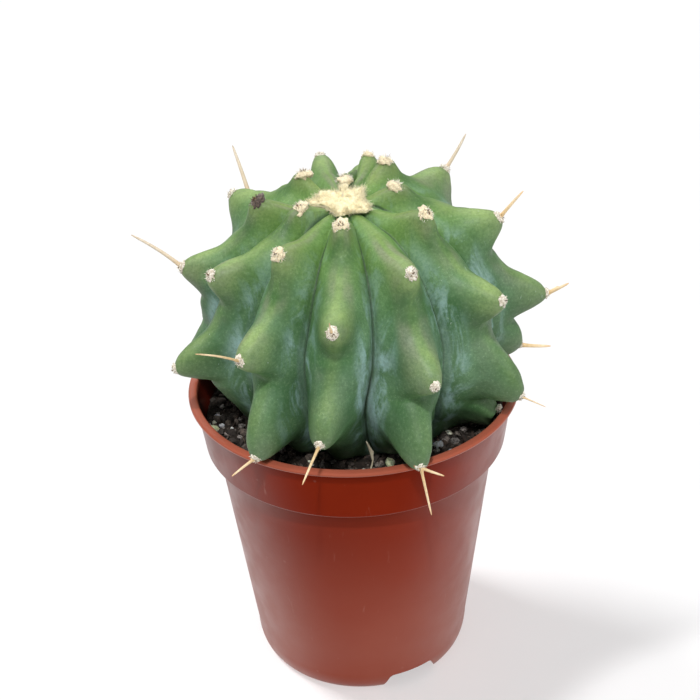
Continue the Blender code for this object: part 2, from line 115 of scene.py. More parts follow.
# Grains that the photo shows: place on the soil in mm, size in mm, and tint from grey to yellow-green
SHOWN_GRAINS = (
    (-35.9, -9.6, 1.35, 0.95),
    (8.1, -27.6, 1.3, 0.9),
    (20.6, -26.4, 0.95, 0.7),
    (20.4, -21.2, 1.3, 0.15),
    (23.4, -22.4, 0.9, 0.1),
    (-18.1, -26.6, 1.1, 0.25),
    (-34.6, -14.4, 0.7, 0.6),
    (-2.6, -30.6, 0.8, 0.3),
    (1.4, -30.9, 0.9, 0.5),
    (-35.6, -3.4, 0.9, 0.05),
    (-34.2, -7.4, 0.75, 0.1),
    (-31.3, -9.4, 0.6, 0.3),
    (-32.6, -15.4, 0.7, 0.2),
)
# Slivers that the photo shows: both ends in mm, thickness in mm, and tint from dark to pale
SHOWN_SLIVERS = (
    (-35.4, -13.6, -27.0, -21.0, 0.55, 0.8),
    (4.5, -26.3, 8.2, -24.0, 0.5, 0.1),
    (-36.2, -9.5, -32.0, -12.6, 0.35, 0.95),
    (-29.6, -13.0, -26.2, -17.6, 0.4, 0.7),
)
FLAKE_PATH = ((3.1, -31.4, 73.2), (3.9, -30.6, 76.2), (3.6, -30.2, 78.5), (2.5, -30.6, 81.8))
FLAKE_WIDTHS = (0.3, 0.2, 0.55, 0.15)

# Plant, as in the solids, on a finer grid and with narrower creases
PLANT_CENTRE = Vector((0.9, -0.1, 100.2)) * MM
PLANT_RADIUS = 46.2 * MM
PLANT_HALF_HEIGHT = 40.2 * MM
CROWN_DIMPLE = 7.8 * MM
DIMPLE_ANGLE = 22.0
LEAN_TO_FRONT = 5.1
LEAN_TO_LEFT = 3.1
# (polar angle, azimuth, how far the nose stands out in mm) of each rib's areoles, from the crown down
RIBS = (
    ((22, -2, 0.0), (59, -6, 0.0), (97.5, -12, 0.0)),
    ((45.5, 25, 0.0), (81, 22, 0.0), (108, 15.5, 3.4)),
    ((30, 54, 0.0), (66.5, 53.5, 0.2), (107, 57.5, 1.2), (125, 60, 0.5)),
    ((16, 92, 0.0), (52.5, 87, 0.0), (87.5, 88, 1.8), (111, 89, -2.0)),
    ((22, 141, 0.0), (52.5, 134.5, 0.0), (78, 125, 0.0), (118, 113, 0.0)),
    ((34, 164, -1.8), (70, 151, 0.0), (105, 142.5, 0.0)),
    ((10, 175, 0.0), (55, 171, -1.5), (92, 169.5, 0.0), (122, 168.5, 0.0)),
    ((46, 190, 0.0), (82, 192, 0.0), (118, 194.5, 0.0)),
    ((62, 218.5, 0.0), (98, 216, 0.0)),
    ((17.5, 222, 0.0), (53, 231.5, 0.0), (87, 242.5, 0.0), (120, 250.5, 0.0)),
    ((26, 274.5, 0.0), (60.5, 276, 0.0), (112, 268, 0.0)),
    ((15, 302, 0.0), (51.5, 300, 0.0), (88, 295, 1.5)),
    ((36.5, 327, 0.0), (71, 325, 0.5), (105.5, 328, 2.7)),
)
CREST_DEPTHS = (
    (0, 2.0), (10, 2.5), (20, 4.3), (30, 5.5), (45, 5.9), (60, 7.0), (72, 7.3), (85, 8.6), (100, 6.8), (115, 7.5),
    (131, 6.0),
)
GROOVE_DEPTHS = (
    (0, 2.0), (10, 3.5), (20, 6.5), (40, 9.8), (60, 11.8), (90, 13.6), (110, 13.6), (131, 10.5)
)
FLANK_POWER = 1.9
NOSE_ABOVE = ((20, 7.5), (53, 8.0), (66, 9.5), (88, 10.0), (107, 14.5))
NOSE_BELOW = ((20, 7.5), (60, 6.8), (100, 8.5))
NOSE_WIDTHS = ((15, 2.6), (50, 3.9), (85, 4.4), (105, 4.3))
NOSE_BLUNTNESS = 2.6
NOSE_TOP_BLUNTNESS = 2.4
NOSE_SPACING = 0.4
NOSE_DROOP = 2.2
CREASE_DEPTH = 1.6 * MM
CREASE_START = 0.9
RIB_STEPS = 26
FIRST_ROW = 2.0
LAST_ROW = 131.0
BODY_ROWS = 152
STUMP_ROWS = ((-27.5, 25.5, 0.25), (-31.0, 23.5, 0.0), (-37.0, 19.0, 0.0))
RIM_CLEARANCE = 0.9 * MM
RIM_MARGIN = 2.0 * MM
RIM_SLOPE = 2.0
# (waves per mm, height) of the skin's unevenness
SKIN_BUMPS = ((0.09, 0.5 * MM), (0.35, 0.16 * MM))
# A shallow dent on the crest below each nose, in degrees and as a share of the rib's half width
UNDER_DENT = 1.0 * MM
DENT_BELOW = 9.0
DENT_REACH = 3.6
DENT_WIDTH = 0.4
DENTS_FROM = 50
# Painted shade on the skin below each nose, in degrees
SHADE_BELOW = 9
SHADE_REACH = 7
# How far the greyer skin round an areole reaches
TIP_REACH = 3.6 * MM

# Areoles and spines, finer than in the solids
PAD_RADII = ((20, 2.1), (45, 1.6), (80, 1.25))
PAD_STRETCH = (0.92, 1.15, 0.62)
PAD_SUNK = 0.25
PAD_DROOP = 12.0
# The felt is cream above the first polar angle, and keeps stubs of spines below the second
CREAM_PADS_TO = 40
STUBS_FROM = 45
HAIRS_PER_PAD = 170
# As shares of the pad's radius, and in mm
PAD_HAIR_LENGTHS = (0.22, 0.46)
PAD_HAIR_RADII = (0.04, 0.085)
AREOLE_SEED = 5
OLD_PADS = {(10, 0)}
DARK_EDGED_PADS = {(11, 0), (0, 0), (12, 0), (2, 0), (9, 0)}
DARK_UNDER_PADS = {(11, 0)}
SPINE_RADIUS = 0.55 * MM
SPINE_TIP_RADIUS = 0.06 * MM
SPINE_ROOT = 1.6 * MM
# (rib, areole, length in mm, azimuth, rise, share of the full thickness)
SPINES = (
    (10, 1, 14.8, -116, 25, 1.0),
    (8, 0, 15.5, -159, 38, 1.15),
    (4, 1, 10.3, 128, 47, 1.0),
    (3, 1, 8.3, 90, 51, 0.9),
    (3, 2, 6.1, 72, 33, 1.0),
    (3, 2, 3.2, 103, 27, 0.8),
    (3, 3, 8.3, 98, -10, 1.1),
    (2, 2, 6.3, 63, -13, 0.45),
    (12, 1, 14.5, -41, 32, 0.55),
    (12, 2, 6.6, -62, -24, 0.72),
    (0, 2, 12.3, -18, -10, 0.68),
    (0, 1, 4.5, -12, 60, 0.45),
    (1, 2, 11.3, 26, -65, 0.7),
    (1, 2, 5.6, 73, -15, 0.75),
)
PALE_SPINE_RIBS = (4, 8, 10)
BACK_SPINE_RIBS = (5, 6, 7, 8)
BACK_SPINE_POLAR = 75.0
BACK_SPINE_LENGTHS = (9.0 * MM, 12.5 * MM)
SPINE_SEED = 3

# Crown wool
WOOL_CORE = 5.8
WOOL_ARMS = ((-92, 5.0, 20), (-128, 3.0, 18), (139, 3.2, 20), (42, 5.0, 24), (-8, 3.6, 18))
WOOL_CLEARANCE = 0.4 * MM
WOOL_REACH = (5.0, 2.0)
WOOL_THICKNESS = 1.7 * MM
WOOL_CROWN = 1.12
WOOL_COLUMNS = 120
WOOL_RINGS = 14
WOOL_HAIRS = 4200
# In mm
WOOL_HAIR_LENGTHS = (0.7, 1.7)
WOOL_HAIR_RADII = (0.022, 0.045)
WOOL_SEED = 11

# The direction in which the surroundings are brightest, and the floor
BRIGHT_SKY = (0.0, 0.5, 0.87)
FLOOR_REACH = 3.0
FLOOR_HEIGHT = -0.1 * MM


# Meshes


def place_object(name, data):
    obj = bpy.data.objects.new(name, data)
    bpy.context.scene.collection.objects.link(obj)
    return obj


def new_object(name, points, faces, material=None):
    mesh = bpy.data.meshes.new(name)
    mesh.from_pydata(np.asarray(points, dtype=float).tolist(), [], [tuple(f) for f in faces])
    if material:
        mesh.materials.append(material)
    return place_object(name, mesh)


def turn_faces_out(obj):
    bm = bmesh.new()
    bm.from_mesh(obj.data)
    bmesh.ops.recalc_face_normals(bm, faces=bm.faces)
    bm.to_mesh(obj.data)
    bm.free()


def finish_piece(obj, slot, *replaced, smooth=None):
    """Shades the piece, hangs it under the root body and hides the solids that it replaces."""
    turn_faces_out(obj)
    obj.data.shade_smooth()
    if smooth:
        obj.data.set_sharp_from_angle(angle=math.radians(smooth))
    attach(obj, "root")
    if replaced:
        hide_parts(*replaced)


def set_attribute(obj, name, values):
    layer = obj.data.attributes.new(name, "FLOAT", "POINT")
    layer.data.foreach_set("value", np.asarray(values, dtype=np.float32))


def tube_faces(rows, columns):
    """Quads of a tube whose points are listed row after row, and a face at each end."""
    faces = []
    for row in range(rows - 1):
        for column in range(columns):
            after = (column + 1) % columns
            upper, lower = row * columns, (row + 1) * columns
            faces.append((upper + column, lower + column, lower + after, upper + after))
    return faces + [tuple(range(end, end + columns)) for end in (0, (rows - 1) * columns)]


class Heap:
    """Collects many small closed shapes into one mesh, with a tint for each shape or each point."""

    def __init__(self):
        self.points = []
        self.faces = []
        self.tints = []

    def add(self, points, faces, tint=0.5):
        start = len(self.points)
        self.points.extend(tuple(p) for p in points)
        self.faces.extend(tuple(start + i for i in face) for face in faces)
        self.tints.extend(tint if isinstance(tint, list) else [tint] * len(points))

    def build(self, name, material, slot, smooth=None):
        obj = new_object(name, self.points, self.faces, material)
        set_attribute(obj, "tint", self.tints)
        finish_piece(obj, slot, smooth=smooth)


def tube(path, radii, sides=3):
    """A tapering tube along a path, closed at both ends."""
    path = [Vector(p) for p in path]
    points = []
    side = (path[1] - path[0]).orthogonal().normalized()
    for index, (place, radius) in enumerate(zip(path, radii)):
        ahead = path[min(index + 1, len(path) - 1)] - path[max(index - 1, 0)]
        side = (side - ahead * side.dot(ahead) / ahead.length_squared).normalized()
        other = ahead.normalized().cross(side)
        for step in range(sides):
            a = FULL_TURN * step / sides
            points.append(place + (side * math.cos(a) + other * math.sin(a)) * radius)
    faces = tube_faces(len(path), sides)
    # The two end faces look in opposite directions
    faces[-1] = faces[-1][::-1]
    return points, faces


def ball(rounds):
    """(points, faces) of a ball of radius 1."""
    bm = bmesh.new()
    bmesh.ops.create_icosphere(bm, subdivisions=rounds, radius=1.0)
    points = [vertex.co.copy() for vertex in bm.verts]
    faces = [[v.index for v in face.verts] for face in bm.faces]
    bm.free()
    return points, faces


def stretched(point, stretch):
    return Vector([c * s for c, s in zip(point, stretch)])


def stone(draw, size, stretch, rounds=1, roughness=0.28):
    """An irregular grain: (points, faces) round the origin."""
    points, faces = ball(rounds)
    offset = Vector((draw.uniform(0, 50), draw.uniform(0, 50), draw.uniform(0, 50)))
    points = [stretched(p * (1 + roughness * 2 * noise.noise(p * 1.6 + offset)) * size, stretch) for p in points]
    turn = Matrix.Rotation(draw.uniform(0, 6.28), 3, random_axis(draw))
    return [turn @ p for p in points], faces


def random_axis(draw):
    return Vector((draw.gauss(0, 1), draw.gauss(0, 1), draw.gauss(0, 1))).normalized()


def moved(points, place):
    return [p + place for p in points]


# Materials


def is_output(value):
    return isinstance(value, bpy.types.NodeSocket)


def full(colour):
    """A colour with its alpha, or an output as it is."""
    return colour if is_output(colour) else (*colour, 1.0)


class Look:
    """A Principled material, with short calls for the nodes that vary it."""

    def __init__(self, name, roughness, **sockets):
        self.material = bpy.data.materials.new(name)
        self.material.use_nodes = True
        self.tree = self.material.node_tree
        self.shader = self.tree.nodes["Principled BSDF"]
        self.shader.inputs["Roughness"].default_value = roughness
        for socket, value in sockets.items():
            self.shader.inputs[socket.replace("_", " ")].default_value = value
        self.place = self.node("ShaderNodeTexCoord").outputs["Object"]
        self.tone = None

    def node(self, kind, inputs=(), **settings):
        """A new node, with its settings and with what its inputs get."""
        node = self.tree.nodes.new(kind)
        for key, value in settings.items():
            setattr(node, key, value)
        for socket, value in dict(inputs).items():
            self.put(node.inputs[socket], value)
        return node

    def put(self, socket, value):
        """Links an output, or sets a plain value."""
        if is_output(value):
            self.tree.links.new(value, socket)
        else:
            socket.default_value = value

    def attribute(self, name):
        return self.node("ShaderNodeAttribute", attribute_name=name).outputs["Fac"]

    def height(self):
        return self.node("ShaderNodeSeparateXYZ", {"Vector": self.place}).outputs["Z"]

    def noise(self, scale, detail=4.0, stretch=(1, 1, 1), roughness=0.5, distortion=0.0):
        scaled = self.node("ShaderNodeMapping", {"Vector": self.place, "Scale": Vector(stretch) * scale})
        inputs = {"Vector": scaled.outputs["Vector"], "Scale": 1.0, "Detail": detail}
        inputs |= {"Roughness": roughness, "Distortion": distortion}
        return self.node("ShaderNodeTexNoise", inputs).outputs["Fac"]

    def cells(self, scale):
        return self.node("ShaderNodeTexVoronoi", {"Vector": self.place, "Scale": scale}).outputs["Distance"]

    def span(self, value, low, high, to_low=0.0, to_high=1.0):
        """Maps low..high smoothly to to_low..to_high."""
        names = ("Value", "From Min", "From Max", "To Min", "To Max")
        inputs = zip(names, (value, low, high, to_low, to_high))
        return self.node("ShaderNodeMapRange", inputs, interpolation_type="SMOOTHSTEP").outputs["Result"]

    def maths(self, operation, first, second):
        inputs = {0: first, 1: second}
        return self.node("ShaderNodeMath", inputs, operation=operation, use_clamp=True).outputs["Value"]

    def plus(self, first, second):
        return self.maths("ADD", first, second)

    def times(self, share, *others):
        for other in others:
            share = self.maths("MULTIPLY", share, other)
        return share

    def mix(self, share, first, second):
        """first where share is 0 and second where it is 1, as colours."""
        inputs = {"Factor": share, 6: full(first), 7: full(second)}
        return self.node("ShaderNodeMix", inputs, data_type="RGBA").outputs[2]

    def ramp(self, value, stops):
        node = self.node("ShaderNodeValToRGB", {"Fac": value})
        elements = node.color_ramp.elements
        while len(elements) < len(stops):
            elements.new(0.5)
        for element, (position, colour) in zip(elements, stops):
            element.position = position
            element.color = full(colour)
        return node.outputs["Color"]

    def colour(self, value):
        self.tone = value
        self.put(self.shader.inputs["Base Color"], full(value))

    def coat(self, colour, *shares):
        """Lays a colour over the tone, as thickly as the product of the shares."""
        self.colour(self.mix(self.times(*shares), self.tone, colour))

    def gloss(self, value):
        self.put(self.shader.inputs["Roughness"], value)

    def bump(self, height, strength, distance):
        node = self.node("ShaderNodeBump", {"Strength": strength, "Distance": distance, "Height": height})
        self.put(self.shader.inputs["Normal"], node.outputs["Normal"])


def pot_look():
    """Red-brown plastic: clean and deep on the band, dusty and scuffed further down, where it is also paler with a
    painted reflection of the floor; a painted shade strip lies under the ledge and a painted highlight on the lip.
    """
    look = Look("red_brown_plastic", 0.42, Specular_Tint=(1.0, 0.86, 0.8, 1.0))
    facing = look.node("ShaderNodeLayerWeight").outputs["Facing"]
    up = look.height()
    # Painted shade: a dark strip on the wall under the ledge, where the ledge's shadow falls, with the gloss taken
    # away there too
    ledge = look.times(*(look.span(up, *heights) for heights in LEDGE_SHADE))
    sheen = look.times(look.span(facing, 0.3, 0.72, 0.02, 0.78), look.maths("SUBTRACT", 1.0, ledge))
    look.put(look.shader.inputs["Specular IOR Level"], sheen)
    cloud = look.noise(38.0, 5.0)
    look.colour(look.mix(look.span(cloud, 0.3, 0.7), (0.182, 0.0145, 0.0028), (0.154, 0.0112, 0.0023)))
    # Paler further down: partly dust, partly a painted reflection of the bright floor
    dust_and_painted_reflection = look.plus(look.span(up, *LEDGE_DUST_AND_PAINTED_REFLECTION, 0.0, 0.14), look.span(up, *WALL_DUST_AND_PAINTED_REFLECTION, 0.0, 0.66))
    look.coat((0.318, 0.09, 0.061), dust_and_painted_reflection, look.span(cloud, 0.25, 0.75, 0.7, 1.0))
    scuffs = look.noise(420.0, 3.0, stretch=(1, 1, 0.12), roughness=0.7)
    spots = look.span(look.cells(130.0), 0.07, 0.02, 0.0, 0.15)
    look.coat((0.42, 0.24, 0.2), look.plus(look.span(scuffs, 0.66, 0.8, 0.0, 0.25), spots))
    # Paints the shade strip under the ledge
    look.coat((0.04, 0.006, 0.004), ledge, 0.85)
    # Painted highlight: the lip's top paler and less red, as where light catches it
    look.coat((0.33, 0.085, 0.05), look.span(up, *PAINTED_LIP_HIGHLIGHT))
    look.gloss(look.span(look.noise(160.0, 6.0), 0.3, 0.7, 0.3, 0.42))
    look.bump(look.noise(900.0, 2.0), 0.12, 0.0001)
    return look.material


def peat_look():
    look = Look("peat", 0.95, Specular_IOR_Level=0.25)
    look.colour(look.ramp(look.noise(900.0, 6.0, roughness=0.65), (
        (0.3, (0.006, 0.005, 0.004)), (0.52, (0.017, 0.012, 0.009)), (0.7, (0.045, 0.032, 0.024)),
    )))
    look.bump(look.noise(1600.0, 5.0), 0.8, 0.0006)
    return look.material


def crumb_look():
    look = Look("peat_crumb", 0.9, Specular_IOR_Level=0.3)
    look.colour(look.ramp(look.attribute("tint"), (
        (0.0, (0.012, 0.01, 0.009)), (0.45, (0.048, 0.038, 0.032)), (0.75, (0.135, 0.105, 0.084)),
        (0.9, (0.2, 0.175, 0.158)), (1.0, (0.34, 0.32, 0.31)),
    )))
    look.coat((0.042, 0.034, 0.029), look.span(look.noise(2200.0), 0.35, 0.7))
    look.bump(look.noise(2600.0), 0.7, 0.0003)
    return look.material


def bark_look():
    look = Look("bark", 0.85, Specular_IOR_Level=0.3)
    look.colour(look.ramp(look.attribute("tint"), (
        (0.0, (0.02, 0.012, 0.009)), (0.5, (0.1, 0.068, 0.05)), (1.0, (0.26, 0.22, 0.2)),
    )))
    grain = look.noise(1500.0, stretch=(1.0, 0.25, 1.0))
    look.coat((0.02, 0.014, 0.012), look.span(grain, 0.35, 0.65, 0.0, 0.6))
    look.bump(grain, 0.6, 0.0003)
    return look.material


def perlite_look():
    look = Look("perlite", 0.8, Subsurface_Weight=0.1)
    look.colour(look.ramp(look.attribute("tint"), (
        (0.0, (0.36, 0.35, 0.38)), (0.35, (0.5, 0.5, 0.48)), (0.7, (0.62, 0.6, 0.42)), (1.0, (0.42, 0.45, 0.24)),
    )))
    look.coat((0.12, 0.1, 0.08), look.span(look.noise(1800.0), 0.5, 0.75, 0.0, 0.7))
    look.bump(look.noise(2400.0, 3.0), 0.8, 0.0003)
    return look.material


def skin_look():
    """Green skin: yellow-green crests, partly painted light on the upper crests and nose tops, greyer round the
    areoles, with painted shade below each nose and in each groove's crease, and a blue-grey waxy coat beside the
    grooves that is partly painted sheen.
    """
    look = Look("cactus_skin", 0.6, Specular_IOR_Level=0.28, Subsurface_Weight=0.05,
                Subsurface_Radius=(0.6, 1.0, 0.3), Subsurface_Scale=0.001)
    span, coat = look.span, look.coat
    crest, down, nose, tip, under = (look.attribute(name) for name in ("crest", "down", "nose", "tip", "under"))
    cloud = look.noise(85.0, 5.0, roughness=0.6)
    patch = look.noise(230.0, 5.0, roughness=0.62)
    grain = look.noise(1500.0, 5.0, roughness=0.7)
    look.colour(look.mix(span(cloud, 0.3, 0.7), (0.04, 0.11, 0.041), (0.098, 0.2, 0.1)))
    coat((0.13, 0.245, 0.062), span(down, 0.52, 0.15))
    coat((0.07, 0.152, 0.064), span(down, 0.5, 0.95), 0.6)
    ridge = look.mix(span(down, 0.34, 0.2), (0.232, 0.335, 0.112), (0.18, 0.262, 0.07))
    ridge = look.mix(span(down, 0.55, 0.8), ridge, (0.185, 0.25, 0.055))
    # Yellow-green crests: partly the skin's own tone, partly painted light on the upper crests and on the nose tops
    # that face upward
    narrow = span(crest, 0.7, 1.0, 0.0, 0.6)
    wide = look.maths("SUBTRACT", span(crest, 0.46, 0.98, 0.0, 0.62), narrow)
    crest_tone_and_painted_light = look.plus(look.times(wide, span(down, 0.42, 0.26)), narrow)
    crest_tone_and_painted_light = look.plus(crest_tone_and_painted_light, span(nose, 0.0, 0.7, 0.0, 0.58))
    coat(ridge, crest_tone_and_painted_light, span(patch, 0.25, 0.6, 0.6, 1.0), span(down, 0.43, 0.8, 1.0, 0.2))
    edge = look.times(span(crest, 0.96, 0.8), span(crest, 0.45, 0.7))
    cast = span(look.noise(60.0), 0.42, 0.66, 0.0, 0.55)
    coat((0.215, 0.215, 0.155), edge, cast, span(down, 0.48, 0.62, 1.0, 0.35))
    # Painted shade: darker green on the skin below each nose
    coat((0.045, 0.124, 0.036), span(under, 0.08, 0.7), span(patch, 0.25, 0.7, 0.84, 0.56))
    coat((0.105, 0.145, 0.085), tip, span(patch, 0.3, 0.7, 0.5, 0.25))
    # Blue-grey wax beside the grooves: partly the skin's own tone, partly a painted sheen
    bloom_and_painted_sheen = look.noise(150.0, 7.0, stretch=(1, 1, 0.4), roughness=0.66, distortion=0.8)
    bloom_and_painted_sheen = look.times(span(bloom_and_painted_sheen, 0.44, 0.62), span(crest, 0.6, 0.2))
    coat((0.25, 0.39, 0.37), bloom_and_painted_sheen, span(down, 0.2, 0.65, 0.2, 1.0))
    # Paler grey-green beside the grooves: partly the skin's own tone, partly painted light that lifts the grooves'
    # shade
    coat((0.2, 0.3, 0.25), span(crest, 0.18, 0.1), span(down, 0.35, 0.6, 0.0, 0.4))
    # Painted shade: a thin dark line along the bottom of each groove's crease
    coat((0.02, 0.05, 0.02), span(crest, 0.07, 0.01), 0.84)
    coat((0.03, 0.08, 0.025), span(grain, 0.54, 0.36, 0.0, 0.26))
    coat((0.4, 0.55, 0.3), span(grain, 0.52, 0.7, 0.0, 0.14))
    dots = span(look.cells(1500.0), 0.2, 0.08, 0.0, 0.25)
    coat((0.4, 0.55, 0.38), dots, span(cloud, 0.4, 0.65))
    scratch = look.noise(800.0, 3.0, stretch=(1.0, 0.3, 0.5), roughness=0.6, distortion=2.2)
    coat((0.55, 0.66, 0.6), span(scratch, 0.7, 0.76), span(down, 0.2, 0.55, 0.1, 0.45))
    look.gloss(span(patch, 0.3, 0.7, 0.4, 0.6))
    look.bump(look.noise(900.0, 6.0, roughness=0.7), 0.5, 0.0002)
    return look.material


def wool_look(name, light, shade, scale=1500.0):
    look = Look(name, 0.95, Specular_IOR_Level=0.15, Sheen_Weight=0.3)
    look.colour(look.mix(look.span(look.noise(scale), 0.35, 0.65), light, shade))
    look.bump(look.noise(3200.0, 3.0), 0.7, 0.0002)
    return look.material


def tint_look(name, roughness, stops):
    look = Look(name, roughness, Specular_IOR_Level=0.4)
    look.colour(look.ramp(look.attribute("tint"), stops))
    look.coat((0.42, 0.3, 0.16), look.span(look.noise(1600.0, 3.0), 0.4, 0.75, 0.0, 0.4))
    look.bump(look.noise(2500.0, stretch=(1, 1, 0.3)), 0.3, 0.0001)
    return look.material


# Pot


def arc(centre_r, centre_z, radius, start, end, steps):
    angles = np.radians(np.linspace(start, end, steps))
    return [(centre_r + radius * math.cos(a), centre_z + radius * math.sin(a)) for a in angles]


def straight(start, end, steps=8):
    """Places at even steps from start to end, both included."""
    shares = [step / steps for step in range(steps + 1)]
    return [tuple(a + (b - a) * share for a, b in zip(start, end)) for share in shares]


def inner_wall():
    """(radius, height) up the pot's inside."""
    return [
        (INNER_FLOOR_RADIUS, FLOOR_UNDERSIDE + WALL_THICKNESS),
        (WALL_RADIUS_BOTTOM - WALL_THICKNESS, CORNER_HEIGHT),
        (WALL_RADIUS_TOP - WALL_THICKNESS, BAND_BOTTOM - WALL_THICKNESS / 2),
        (BAND_RADIUS_BOTTOM - WALL_THICKNESS, BAND_BOTTOM + WALL_THICKNESS),
    ]


def pot_profile():
    """(radius, height) up the inside, over the lip and down the outside."""
    lip = LIP_HEIGHT / 2
    profile = [(0.0, FLOOR_UNDERSIDE + WALL_THICKNESS), *inner_wall(), (RIM_RADIUS - LIP_WIDTH, POT_HEIGHT - lip)]
    profile += arc(RIM_RADIUS - LIP_WIDTH + lip, POT_HEIGHT - lip, lip, 165, 90, 6)
    profile += arc(RIM_RADIUS - lip, POT_HEIGHT - lip, lip, 80, -75, 12)
    band_top = (BAND_RADIUS_TOP, POT_HEIGHT - LIP_HEIGHT - LIP_EDGE)
    profile += straight(band_top, (BAND_RADIUS_BOTTOM, BAND_BOTTOM + BAND_EDGE))
    profile += arc(BAND_RADIUS_BOTTOM - BAND_EDGE, BAND_BOTTOM + BAND_EDGE, BAND_EDGE, -15, -90, 6)
    profile += [(WALL_RADIUS_TOP + LEDGE_START, BAND_BOTTOM)]
    profile += arc(WALL_RADIUS_TOP + LEDGE_CORNER, BAND_BOTTOM - LEDGE_CORNER, LEDGE_CORNER, 90, 175, 6)
    profile += straight((WALL_RADIUS_TOP, WALL_START), (WALL_RADIUS_BOTTOM, CORNER_HEIGHT))[1:]
    foot, inside = FOOT_RADIUS - FOOT_EDGE, FOOT_RADIUS - FOOT_WIDTH
    for step in range(1, CORNER_STEPS):
        a = math.pi / 2 * step / CORNER_STEPS
        radius = foot + (WALL_RADIUS_BOTTOM - foot) * math.cos(a) ** CORNER_FULLNESS
        profile.append((radius, CORNER_HEIGHT * (1 - math.sin(a))))
    profile += [(foot, 0.0), (inside, 0.0), (inside - 0.5 * MM, 0.4 * MM), (inside - 0.7 * MM, FLOOR_UNDERSIDE)]
    return profile + [(0.0, FLOOR_UNDERSIDE)]


def turned_mesh(profile, steps):
    """(points, faces) of a profile turned about Z, with one point where it meets the axis."""
    points, rows = [], []
    for radius, height in profile:
        if radius == 0.0:
            rows.append([len(points)])
            points.append((0.0, 0.0, height))
            continue
        rows.append([len(points) + i for i in range(steps)])
        for i in range(steps):
            a = FULL_TURN * i / steps
            points.append((radius * math.sin(a), -radius * math.cos(a), height))
    faces = []
    for first, second in zip(rows, rows[1:]):
        for i in range(steps):
            j = (i + 1) % steps
            if len(first) == 1:
                faces.append((first[0], second[i], second[j]))
            elif len(second) == 1:
                faces.append((first[i], second[0], first[j]))
            else:
                faces.append((first[i], second[i], second[j], first[j]))
    return points, faces


def slot_cutter(azimuth):
    top = SLOT_TOP_WIDTH / 2
    low = SLOT_WIDTH - top
    corners = [(-low, -SLOT_HEIGHT), (low, -SLOT_HEIGHT), (top, SLOT_HEIGHT), (-top, SLOT_HEIGHT)]
    points = [(x, -y, z) for y in (SLOT_FROM, SLOT_TO) for x, z in corners]
    faces = [(0, 3, 2, 1), (4, 5, 6, 7)] + [(i, (i + 1) % 4, (i + 1) % 4 + 4, i + 4) for i in range(4)]
    bm = bmesh.new()
    vertices = [bm.verts.new(p) for p in points]
    for face in faces:
        bm.faces.new([vertices[i] for i in face])
    edges = [e for e in bm.edges if all(abs(v.co.z - SLOT_HEIGHT) < 1e-6 for v in e.verts)]
    long_edges = [e for e in edges if abs(e.verts[0].co.y - e.verts[1].co.y) > SLOT_CORNER]
    bmesh.ops.bevel(bm, geom=long_edges, offset=SLOT_CORNER, segments=4, affect="EDGES", profile=0.5)
    bmesh.ops.recalc_face_normals(bm, faces=bm.faces)
    bmesh.ops.rotate(bm, matrix=Matrix.Rotation(math.radians(azimuth), 3, "Z"), verts=bm.verts)
    cutter = new_object("slot_cutter", [], [])
    bm.to_mesh(cutter.data)
    bm.free()
    return cutter


def make_pot():
    points, faces = turned_mesh(pot_profile(), POT_STEPS)
    pot = new_object("pot_shell", points, faces, pot_look())
    turn_faces_out(pot)
    for index in range(SLOT_COUNT):
        cutter = slot_cutter(SLOT_AZIMUTH + index * 360 / SLOT_COUNT)
        boolean = pot.modifiers.new("Slot", "BOOLEAN")
        boolean.operation = "DIFFERENCE"
        boolean.object = cutter
        graph = bpy.context.evaluated_depsgraph_get()
        cut = bpy.data.meshes.new_from_object(pot.evaluated_get(graph))
        pot.modifiers.clear()
        pot.data = cut
        bpy.data.objects.remove(cutter)
    finish_piece(pot, "pot", "pot", smooth=35)


# Plant


def between(pairs, polar):
    return np.interp(polar, [p for p, _ in pairs], [v for _, v in pairs])


def lean(points):
    front, left = math.radians(LEAN_TO_FRONT), math.radians(LEAN_TO_LEFT)
    turn = Matrix.Rotation(-left, 3, "Y") @ Matrix.Rotation(front, 3, "X")
    return np.asarray(points) @ np.array(turn).T + np.array(PLANT_CENTRE)


def ball_point(azimuth, polar, depth):
    """A point this deep below the ball that the noses reach."""
    a, p = np.radians(azimuth), np.radians(polar)
    radius = (PLANT_RADIUS - depth) * np.sin(p)
    height = (PLANT_HALF_HEIGHT - depth) * np.cos(p) - CROWN_DIMPLE * np.exp(-((polar / DIMPLE_ANGLE) ** 2))
    return lean(np.stack([radius * np.sin(a), -radius * np.cos(a), height], axis=-1))


def rib_azimuth(rib, polar):
    """The crest runs from areole to areole."""
    turns, index = divmod(rib, len(RIBS))
    areoles = RIBS[index]
    return np.interp(polar, [a[0] for a in areoles], [a[1] for a in areoles]) + 360.0 * turns


